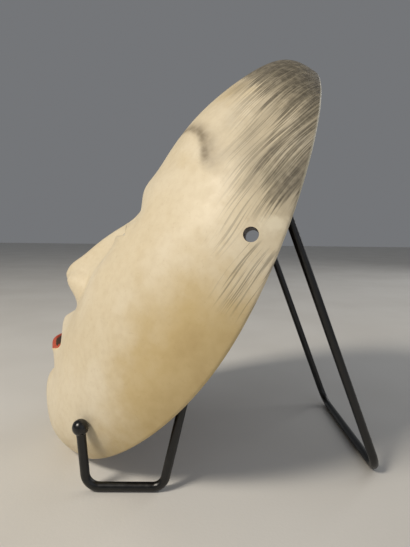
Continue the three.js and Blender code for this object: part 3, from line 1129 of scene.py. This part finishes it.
@dataclass
class Mask:
    """The carved mask: one shell with pupils, nostrils, mouth slit and cord holes cut into it.

    The zones give how far the finer cells reach around eyes, mouth and nose, for the first and the
    second halving. The nostril's rings are depths with shares of its radius.
    """

    carving: Carving = Carving()
    plan: PaintPlan = PaintPlan()
    face_cells: int = 208
    hollow_cells: int = 112
    corner_steps: int = 4
    inner_corner_steps: int = 3
    inner_round: float = 1.6
    tilt: float = math.radians(32.5)
    chin_y: float = -61.04
    lift: float = 0.254
    slit_v: float = 38.4
    slit_half_width: float = 16.5
    slit_half_height: float = 1.8
    slit_power: float = 0.35
    slit_sides: int = 64
    cutter_length: float = 80.0
    pupil_depth: float = 60.0
    nostril_at: tuple[float, float, float] = (6.2, 55.5, 35.0)
    nostril_rise: float = 0.1
    nostril: float = 2.0
    nostril_flat: float = 0.86
    nostril_rings: tuple[tuple[float, float], ...] = ((0, 1.25), (5, 1.05), (9, 0.8), (10.5, 0.3))
    hole_at: tuple[float, float, float] = (39.0, 122.5, -18.5)
    hole_rise: float = 0.25
    hole: float = 2.35
    hole_flare: float = 0.15
    flare_depth: float = 1.1
    flare_past: float = 3.0
    hole_sides: int = 48
    outside: float = 200.0
    gouge_across: int = 17
    gouge_along: int = 9
    gouge_depth: float = 0.75
    eye_zones: tuple[tuple[float, float], ...] = ((16.0, 7.5), (13.8, 4.4))
    eye_zone_rise: float = 0.8
    mouth_zones: tuple[tuple[float, float], ...] = ((24.0, 10.0), (21.5, 7.0))
    nose_zones: tuple[tuple[float, float, float], ...] = ((18.0, 52.0, 75.0), (9.5, 54.0, 62.0))
    rim_points: int = 2160
    smooth_angle: float = math.radians(42)
    finishes: list[bpy.types.Material] = field(init=False)
    body: Piece = field(init=False)

    def sheet(self, name: str, cells: int) -> Piece:
        """Adds a square grid and stores on it the unit disk that it is rounded to.

        Args:
            name: Name of the object.
            cells: Cells along each side.

        Returns:
            The grid object, not shaped yet.
        """
        bpy.ops.mesh.primitive_grid_add(x_subdivisions=cells, y_subdivisions=cells, size=2)
        piece = bpy.context.object
        piece.name = name
        flat = points_of(piece)
        gather = self.carving.gather
        p, q = (flat[:, k] * (gather + (1 - gather) * flat[:, k] ** 2) for k in (0, 1))
        disk = np.stack([p * np.sqrt(1 - q**2 / 2), q * np.sqrt(1 - p**2 / 2), np.zeros_like(p)], axis=1)
        store(piece, "disk", disk)
        return piece

    def near_features(self, x: np.ndarray, v: np.ndarray, level: int) -> np.ndarray:
        """Picks the places around eyes, mouth and nose that need finer cells.

        Args:
            x: Places across the face.
            v: Places up the face.
            level: 0 for the first halving of the cells, 1 for the second.

        Returns:
            True for each place that needs them.
        """
        side = np.abs(x)
        along, up = self.carving.eye.along(x, v)
        wide, tall = self.eye_zones[level]
        eyes = (np.abs(along) < wide) & (np.abs(up - self.eye_zone_rise) < tall)
        wide, tall = self.mouth_zones[level]
        mouth = (side < wide) & (np.abs(v - self.carving.mouth.v) < tall)
        wide, low, high = self.nose_zones[level]
        return eyes | mouth | ((side < wide) & (v > low) & (v < high))

    def shape(self, face: Piece) -> None:
        """Puts the face's vertices on the carved surface."""
        move_points(face, self.carving.surface(recall(face, "disk"), False, self.carving.rim_round))

    def refine(self, face: Piece, level: int) -> None:
        """Splits the cells near eyes, nose and mouth in two each way.

        Args:
            face: The face's sheet.
            level: 0 for the first halving of the cells, 1 for the second.
        """
        self.shape(face)
        x, v, _ = rows(face.data.polygons, "center").T
        wanted = self.near_features(x, v, level)
        edit(face, "FACE", "DESELECT")
        bpy.ops.object.mode_set(mode="OBJECT")
        face.data.polygons.foreach_set("select", wanted)
        bpy.ops.object.mode_set(mode="EDIT")
        bpy.ops.mesh.subdivide(number_cuts=1)
        bpy.ops.object.mode_set(mode="OBJECT")

    def gouged(self, disk: np.ndarray) -> tuple[np.ndarray, np.ndarray]:
        """Cuts the hollow with a gouge, in wandering rows that are each shifted against the last.

        Args:
            disk: Rows whose first two numbers lie in the unit disk.

        Returns:
            How deep the gouge went, and how near a place is to a ridge between two cuts.
        """
        row = disk[:, 1] * self.gouge_along + 0.25 * np.sin(7 * disk[:, 0])
        shift = 0.37 * np.floor(row) + 0.12 * np.sin(3.1 * np.floor(row))
        across = disk[:, 0] * self.gouge_across + shift
        u, r = (2 * (t - np.floor(t)) - 1 for t in (across, row))
        cut = (1 - u**2) * (1 - 0.55 * r**2)
        fade = 1 - smooth(np.hypot(disk[:, 0], disk[:, 1]), 0.9, 0.99)
        return self.gouge_depth * cut * fade, (1 - cut) * fade

    def rounded(self, disk: np.ndarray, turn: float, inner: bool) -> np.ndarray:
        """Works out a rounded corner of the rim.

        Args:
            disk: Places on the edge of the unit disk.
            turn: Angle round the corner, from the wall at 0 to the flat of the rim at a right angle.
            inner: Whether this is the corner at the hollow.

        Returns:
            Points on the corner.
        """
        outer = self.carving.surface(disk, False)
        hollow = self.carving.surface(disk, True)
        inward = hollow - outer
        inward /= np.linalg.norm(inward, axis=1)[:, None]
        forward = np.array([0.0, 0.0, 1.0])
        corner, radius, side = (outer, self.carving.rim_round, 1)
        if inner:
            corner, radius, side = (hollow, self.inner_round, -1)
        slide = side * radius * (1 - math.cos(turn))
        return corner + slide * inward + radius * (1 - math.sin(turn)) * forward

    def add_corner(self, piece: Piece, steps: int, inner: bool) -> None:
        """Extrudes the open border of a sheet round its corner of the rim.

        Args:
            piece: The sheet.
            steps: Faces round the corner.
            inner: Whether this is the corner at the hollow.
        """
        for k in range(1, steps + 1):
            edit(piece, "EDGE", "SELECT")
            select_borders()
            bpy.ops.mesh.extrude_edges_move()
            bpy.ops.object.mode_set(mode="OBJECT")
            fresh = picked(piece.data.vertices)
            points = points_of(piece)
            disk = recall(piece, "disk")[fresh]
            points[fresh] = self.rounded(disk, math.pi / 2 * k / steps, inner)
            move_points(piece, points)

    def dress(self, piece: Piece, part: Surface) -> None:
        """Gives a piece the mask's finishes, with all its faces in one slot.

        Args:
            piece: The piece.
            part: The slot.
        """
        for finish in self.finishes:
            piece.data.materials.append(finish)
        piece.data.polygons.foreach_set("material_index", [part.value] * len(piece.data.polygons))

    def shell(self) -> Piece:
        """Models the closed shell of face, rim and hollow, in the mask's own frame in mm.

        Returns:
            The shell.
        """
        face = self.sheet("mask_face", self.face_cells)
        for level in (0, 1):
            self.refine(face, level)
        self.shape(face)
        self.add_corner(face, self.corner_steps, False)
        hollow = self.sheet("hollow", self.hollow_cells)
        disk = recall(hollow, "disk")
        cut, ridge = self.gouged(disk)
        move_points(hollow, self.carving.surface(disk, True, self.inner_round, cut))
        store(hollow, "ridge", ridge)
        self.add_corner(hollow, self.inner_corner_steps, True)
        self.dress(face, Surface.PAINT)
        self.dress(hollow, Surface.WOOD)
        join([face, hollow])
        edit(face, "EDGE", "SELECT")
        select_borders()
        bpy.ops.mesh.bridge_edge_loops()
        bpy.ops.object.mode_set(mode="OBJECT")
        faces = face.data.polygons
        parts = np.zeros(len(faces), np.int32)
        faces.foreach_get("material_index", parts)
        parts[picked(faces)] = Surface.EDGE.value
        faces.foreach_set("material_index", parts)
        bpy.ops.object.mode_set(mode="EDIT")
        face_outwards()
        return face

    def bore(
        self,
        start: Vector,
        along: Vector,
        rings: list[tuple[float, float]],
        flat: float = 1.0,
        sides: int = 40,
    ) -> Piece:
        """Adds a turned cutter.

        Args:
            start: Where its axis starts.
            along: Direction of its axis.
            rings: Distance along the axis and radius of each ring.
            flat: Scale of its section in x.
            sides: Sides of its section.

        Returns:
            The cutter.
        """
        bpy.ops.mesh.primitive_circle_add(vertices=sides, radius=rings[0][1], fill_type="NGON")
        cutter = bpy.context.object
        edit(cutter, "FACE", "SELECT")
        for (here, radius), (there, wider) in zip(rings, rings[1:]):
            bpy.ops.mesh.extrude_region_move(TRANSFORM_OT_translate={"value": (0, 0, there - here)})
            bpy.ops.transform.resize(value=(wider / radius, wider / radius, 1))
        face_outwards()
        place = Matrix.Translation(start) @ Matrix.Diagonal((flat, 1, 1, 1))
        cutter.data.transform(place @ upright_to(along))
        return cutter

    def slit(self) -> Piece:
        """Adds the leaf-shaped cutter of the mouth's slit.

        Returns:
            The cutter.
        """
        bpy.ops.mesh.primitive_circle_add(vertices=self.slit_sides, radius=1, fill_type="NGON")
        cutter = bpy.context.object
        edit(cutter, "FACE", "SELECT")
        bpy.ops.mesh.extrude_region_move(TRANSFORM_OT_translate={"value": (0, 0, self.cutter_length)})
        face_outwards()
        points = points_of(cutter)
        half = self.slit_half_height * np.clip(1 - points[:, 0] ** 2, 0, 1) ** self.slit_power
        points[:, 1] = self.slit_v + np.sign(points[:, 1]) * half * (np.abs(points[:, 1]) > 1e-4)
        points[:, 0] *= self.slit_half_width
        move_points(cutter, points)
        return cutter

    def side_cutters(self, side: int) -> list[Piece]:
        """Adds the cutters of one side's pupil, nostril and cord hole.

        Args:
            side: 1 for the mask's left, -1 for its right.

        Returns:
            The cutters.
        """
        eye = self.carving.eye
        pupil = Vector((side * eye.pupil_x, eye.pupil_v, 0))
        x, v, w = self.nostril_at
        nostril = Vector((side * x, v, w))
        x, v, w = self.hole_at
        hole = Vector((side * x, v, w))
        out = Vector((side, 0, self.hole_rise)).normalized()
        wall = self.wall_along(hole, out)
        flared = [
            (0, self.hole),
            (wall - self.flare_depth, self.hole),
            (wall, self.hole + self.hole_flare),
            (wall + self.flare_past, self.hole + self.flare_past * self.hole_flare),
        ]
        turned = [(depth, share * self.nostril) for depth, share in self.nostril_rings]
        return [
            self.bore(pupil, Vector((0, 0, 1)), [(0, eye.pupil), (self.pupil_depth, eye.pupil)]),
            self.bore(nostril, Vector((0, 1, self.nostril_rise)), turned, self.nostril_flat),
            self.bore(hole, out, flared, sides=self.hole_sides),
        ]

    def wall_along(self, start: Vector, out: Vector) -> float:
        """Measures how far the outer face lies from a point, along a direction.

        Args:
            start: The point.
            out: The direction, of length 1.

        Returns:
            The distance.

        Raises:
            RuntimeError: If nothing lies that way.
        """
        hit, place, _, _ = self.body.ray_cast(start + out * self.outside, -out)
        if not hit:
            raise RuntimeError("the cord hole misses the mask")
        return (place - start).dot(out)

    def carve(self) -> None:
        """Cuts the openings through the shell."""
        made = [self.slit(), *self.side_cutters(-1), *self.side_cutters(1)]
        for cutter in made:
            self.dress(cutter, Surface.WOOD)
        cutter = join(made)
        select_only(self.body)
        cut = self.body.modifiers.new("openings", "BOOLEAN")
        cut.object = cutter
        cut.operation = "DIFFERENCE"
        cut.solver = "EXACT"
        bpy.ops.object.modifier_apply(modifier=cut.name)
        bpy.data.objects.remove(cutter)

    def from_rim(self, points: np.ndarray) -> tuple[np.ndarray, np.ndarray]:
        """Measures points from the outer corner of the rim.

        Args:
            points: Rows of x, v and w.

        Returns:
            Each point's distance from the corner, and its height over it.
        """
        turns = np.linspace(0, 2 * math.pi, self.rim_points, endpoint=False)
        ring = np.stack([np.cos(turns), np.sin(turns), 0 * turns], axis=1)
        corner = self.carving.surface(ring, False)
        tree = KDTree(len(corner))
        for i, place in enumerate(corner):
            tree.insert(place, i)
        tree.balance()
        found = [tree.find(place) for place in points]
        heights = points[:, 2] - np.array([place[2] for place, _, _ in found])
        return np.array([distance for _, _, distance in found]), heights

    def paint_fields(self) -> None:
        """Stores on the mesh what the paint needs to know, from each point's own place."""
        points = points_of(self.body)
        x, v, w = points.T
        side = np.abs(x)
        rim, height = self.from_rim(points)
        eye, mouth, plan = self.carving.eye, self.carving.mouth, self.plan
        fields = {
            "eye": eye.inside(x, v),
            "pupil": np.hypot(side - eye.pupil_x, v - eye.pupil_v - eye.iris_rise),
            "upper_line": eye.ink(x, eye.above(x, v) - eye.upper_ink_rise, v, eye.upper_ink),
            "lower_line": eye.ink(x, eye.below(x, v), v, eye.lower_ink),
            "mouth": mouth.inside(x, v),
            "red": mouth.red(x, v),
            "tooth": mouth.dental(x, v)[0],
            "brow": plan.brow(side, v),
            "strand": plan.strands(x, v, w),
            "hair": plan.hair(v, w),
            "wisps": plan.wisps(v, w),
            "veil": plan.veil(v, w),
            "age": plan.age(side, v, w),
            "worn": plan.patch(v, w),
            "edge": plan.edge(v, height),
            "rim": rim,
        }
        for name, values in fields.items():
            store(self.body, name, values)

    def build(self) -> Piece:
        """Builds, dresses and places the mask.

        Returns:
            The finished piece.
        """
        self.finishes = [finish.build() for finish in (AgedShellPaint(), LacqueredWood(), WornEdge())]
        self.body = self.shell()
        self.carve()
        self.paint_fields()
        turn = Matrix.Rotation(math.pi / 2 - self.tilt, 4, "X")
        place = Matrix.Translation((0, self.chin_y * MM, self.lift * MM)) @ turn @ Matrix.Scale(MM, 4)
        self.body.data.transform(place)
        self.body.name = "carved_mask"
        return enlist(self.body, self.smooth_angle, "mask")


@dataclass(frozen=True)
class BentWire:
    """A round wire that is extruded along straights and spun round bends, as a wire is bent."""

    radius: float = 1.75
    sides: int = 28
    bend_step: float = math.radians(6)

    def bend(self, name: str, corners: list[Vector], radii: list[float]) -> Piece:
        """Models half of a wire along its corners.

        Args:
            name: Name of the piece.
            corners: Ends and corners of its middle line. The last one is at x = 0.
            radii: Bend radius at each inner corner.

        Returns:
            The half wire, open at both ends.
        """
        along = (corners[1] - corners[0]).normalized()
        bpy.ops.mesh.primitive_circle_add(vertices=self.sides, radius=self.radius * MM, fill_type="NOTHING")
        wire = bpy.context.object
        wire.name = name
        wire.data.transform(Matrix.Translation(corners[0] * MM) @ upright_to(along))
        edit(wire, "EDGE", "SELECT")
        here = corners[0]
        for corner, after, radius in zip(corners[1:], corners[2:], radii):
            into = (corner - here).normalized()
            out = (after - corner).normalized()
            angle = into.angle(out)
            start = corner - into * radius * math.tan(angle / 2)
            bpy.ops.mesh.extrude_edges_move(TRANSFORM_OT_translate={"value": (start - here) * MM})
            axis = into.cross(out).normalized()
            centre = start + axis.cross(into) * radius
            steps = max(2, round(angle / self.bend_step))
            bpy.ops.mesh.spin(steps=steps, angle=-angle, center=centre * MM, axis=axis)
            here = corner + out * radius * math.tan(angle / 2)
        bpy.ops.mesh.extrude_edges_move(TRANSFORM_OT_translate={"value": (corners[-1] - here) * MM})
        bpy.ops.object.mode_set(mode="OBJECT")
        return wire

    def mirror(self, wire: Piece) -> None:
        """Adds the wire's mirror image in x, joins the two at the middle and closes both ends.

        Args:
            wire: The half wire.
        """
        select_only(wire)
        twin = wire.modifiers.new("other side", "MIRROR")
        twin.merge_threshold = 0.05 * MM
        bpy.ops.object.modifier_apply(modifier=twin.name)
        edit(wire, "EDGE", "SELECT")
        bpy.ops.mesh.remove_doubles(threshold=0.01 * MM)
        select_borders()
        bpy.ops.mesh.edge_face_add()
        face_outwards()


@dataclass(frozen=True)
class WireStand:
    """The black wire stand: hooks, runs and uprights of one wire, and a back leg of another.

    The collar's steps are drops below the ball, each with the share that its section shrinks to.
    """

    wire: BentWire = BentWire()
    shift: float = -1.24
    hook_x: float = 48.2
    hook_y: float = -44.0
    hook_lean: float = math.radians(4.5)
    hook_bend: float = 5.5
    ball_z: float = 25.0
    ball: float = 3.05
    ball_depth: float = 0.8
    collar: float = 1.1
    collar_steps: tuple[tuple[float, float], ...] = ((0.25, 0.965), (0.5, 0.985), (0.6, 0.97))
    run_end_y: float = -13.2
    run_bend: float = 5.0
    lean: float = math.radians(12.9)
    top_z: float = 136.7
    top_half_width: float = 38.2
    top_bend: float = 6.0
    back_half_width: float = 37.5
    back_foot_y: float = 73.0
    back_bend: float = 8.0
    back_behind: float = 3.2
    back_over: float = 0.6
    wire_smooth_angle: float = math.radians(50)
    ball_smooth_angle: float = math.radians(60)

    @property
    def top_y(self) -> float:
        """Returns the place of the top bar."""
        return self.run_end_y + (self.top_z - self.wire.radius) * math.tan(self.lean)

    def spot(self, x: float, y: float, z: float) -> Vector:
        """Returns a place of the stand in the row frame."""
        return Vector((x, y + self.shift, z))

    def front(self) -> Piece:
        """Builds the front frame.

        Returns:
            The bare wire.
        """
        r = self.wire.radius
        below = self.ball * self.ball_depth
        slope = math.tan(self.hook_lean)
        corners = [
            self.spot(self.hook_x, self.hook_y + below * slope, self.ball_z - below),
            self.spot(self.hook_x, self.hook_y + (self.ball_z - r) * slope, r),
            self.spot(self.hook_x, self.run_end_y, r),
            self.spot(self.top_half_width, self.top_y, self.top_z),
            self.spot(0, self.top_y, self.top_z),
        ]
        piece = self.wire.bend("front_wire", corners, [self.hook_bend, self.run_bend, self.top_bend])
        self.wire.mirror(piece)
        return piece

    def back(self) -> Piece:
        """Builds the back leg.

        Returns:
            The bare wire.
        """
        foot = self.spot(self.back_half_width, self.back_foot_y, self.wire.radius)
        top = self.spot(self.back_half_width, self.top_y + self.back_behind, self.top_z)
        top += (top - foot).normalized() * self.back_over
        middle = self.spot(0, self.back_foot_y, self.wire.radius)
        piece = self.wire.bend("back_wire", [top, foot, middle], [self.back_bend])
        self.wire.mirror(piece)
        return piece

    def tip(self) -> Piece:
        """Builds the ball on the left hook, with the collar of coat that runs down onto the wire.

        Returns:
            The bare ball.
        """
        centre = self.spot(self.hook_x, self.hook_y, self.ball_z) * MM
        radius = self.ball * MM
        bpy.ops.mesh.primitive_uv_sphere_add(segments=40, ring_count=28, radius=radius, location=centre)
        ball = bpy.context.object
        bpy.ops.object.transform_apply(location=True, rotation=True, scale=True)
        flat = math.sqrt(self.ball**2 - (self.wire.radius * self.collar) ** 2)
        low = centre - Vector((0, 0, flat * MM))
        edit(ball, "EDGE", "SELECT")
        bpy.ops.mesh.bisect(plane_co=low, plane_no=(0, 0, -1), clear_outer=True)
        for drop, share in self.collar_steps:
            bpy.ops.mesh.extrude_edges_move(TRANSFORM_OT_translate={"value": (0, 0, -drop * MM)})
            bpy.ops.transform.resize(value=(share, share, 1), center_override=centre)
        bpy.ops.mesh.edge_face_add()
        face_outwards()
        turn = Matrix.Rotation(self.hook_lean, 4, "X")
        ball.data.transform(Matrix.Translation(centre) @ turn @ Matrix.Translation(-centre))
        ball.name = "ball_left"
        return ball

    def other_tip(self, ball: Piece) -> Piece:
        """Copies the ball to the right hook.

        Args:
            ball: The ball on the left hook.

        Returns:
            The copy, with its own mesh.
        """
        twin = ball.copy()
        twin.data = ball.data.copy()
        twin.data.transform(Matrix.Translation((-2 * self.hook_x * MM, 0, 0)))
        twin.name = "ball_right"
        bpy.context.scene.collection.objects.link(twin)
        return twin

    def build(self) -> list[Piece]:
        """Builds and dresses every piece of the stand, hangs each on the root body and hides its CAD part.

        Returns:
            The finished pieces.
        """
        coat = PowderCoat().build("black_powder_coat")
        gloss = PowderCoat(black="#0A0A0A", rough=0.3).build("black_gloss_coat")
        made = []
        for piece, node in ((self.front(), "front_frame"), (self.back(), "back_leg")):
            piece.data.materials.append(coat)
            made.append(enlist(piece, self.wire_smooth_angle, node))
        ball = self.tip()
        for piece, node in ((ball, "ball_tip_left"), (self.other_tip(ball), "ball_tip_right")):
            piece.data.materials.append(gloss)
            made.append(enlist(piece, self.ball_smooth_angle, node))
        return made


@dataclass(frozen=True)
class Lamp:
    """A soft square light that faces the mask. Its place and side are in metres, its power in watts."""

    name: str
    at: tuple[float, float, float]
    side: float
    power: float
    colour: str
    aim: tuple[float, float, float] = (0.0, 0.0, 0.08)

    def build(self) -> None:
        """Adds the light to the scene."""
        light = bpy.data.lights.new(self.name, "AREA")
        light.size = self.side
        light.energy = self.power
        light.color = linear(self.colour)[:3]
        lamp = bpy.data.objects.new(self.name, light)
        bpy.context.scene.collection.objects.link(lamp)
        turn = (Vector(self.aim) - Vector(self.at)).to_track_quat("-Z", "Y")
        lamp.matrix_world = Matrix.Translation(self.at) @ turn.to_matrix().to_4x4()


@dataclass(frozen=True)
class Studio:
    """Floor, light and camera. The camera stands where the photograph's camera stood.

    The floor's side and the clipping distances are in metres, the camera's place is in millimetres.
    """

    eye: tuple[float, float, float] = (200.5, -1.24, 97.9)
    yaw: float = math.radians(0.64)
    pitch: float = math.radians(5.59)
    roll: float = math.radians(0.67)
    focal_px: float = 425.0
    image_height_px: float = 547.0
    sensor: float = 36.0
    clip: tuple[float, float] = (0.01, 20.0)
    floor_side: float = 6.0
    sky: str = "#DADDE2"
    sky_strength: float = 0.25
    lamps: tuple[Lamp, ...] = (
        Lamp("key", (0.45, -0.55, 0.75), 0.24, 7, "#FFF6E8"),
        Lamp("fill", (0.7, 0.5, 0.45), 0.8, 0.8, "#EEF3FF"),
        Lamp("back", (-0.5, 0.8, 0.55), 0.6, 2, "#FFFFFF"),
    )

    def floor(self) -> None:
        """Adds the plain pale floor."""
        bpy.ops.mesh.primitive_plane_add(size=self.floor_side)
        plane = bpy.context.object
        plane.name = "floor"
        plane.data.materials.append(MattWhitePaint().build())

    def camera(self) -> None:
        """Adds the camera, turned by its yaw, pitch and roll."""
        ahead = Vector((-math.cos(self.yaw), math.sin(self.yaw), 0))
        level = Vector((math.sin(self.yaw), math.cos(self.yaw), 0))
        up = Vector((0, 0, 1))
        view = ahead * math.cos(self.pitch) - up * math.sin(self.pitch)
        rise = up * math.cos(self.pitch) + ahead * math.sin(self.pitch)
        right = level * math.cos(self.roll) + rise * math.sin(self.roll)
        top = rise * math.cos(self.roll) - level * math.sin(self.roll)
        data = bpy.data.cameras.new("camera")
        data.sensor_fit = "VERTICAL"
        data.sensor_height = self.sensor
        data.lens = self.focal_px / self.image_height_px * self.sensor
        data.clip_start, data.clip_end = self.clip
        camera = bpy.data.objects.new("camera", data)
        bpy.context.scene.collection.objects.link(camera)
        turn = Matrix((right, top, -view)).transposed().to_4x4()
        camera.matrix_world = Matrix.Translation(Vector(self.eye) * MM) @ turn
        bpy.context.scene.camera = camera

    def build(self) -> None:
        """Sets up the floor, the lights, the surroundings and the camera."""
        self.floor()
        for lamp in self.lamps:
            lamp.build()
        world = bpy.data.worlds.new("studio")
        world.use_nodes = True
        feed(world.node_tree.nodes["Background"], {"Color": self.sky, "Strength": self.sky_strength})
        bpy.context.scene.world = world
        bpy.context.scene.view_settings.view_transform = "Standard"
        self.camera()


def main() -> None:
    """Builds the studio, the mask and the stand in order, and logs the faces of each piece."""
    logging.basicConfig(level=logging.INFO, format="%(message)s")
    Studio().build()
    pieces = [Mask().build(), *WireStand().build()]
    for piece in pieces:
        log.info("%s: %d faces", piece.name, len(piece.data.polygons))


if __name__ == "__main__":
    main()
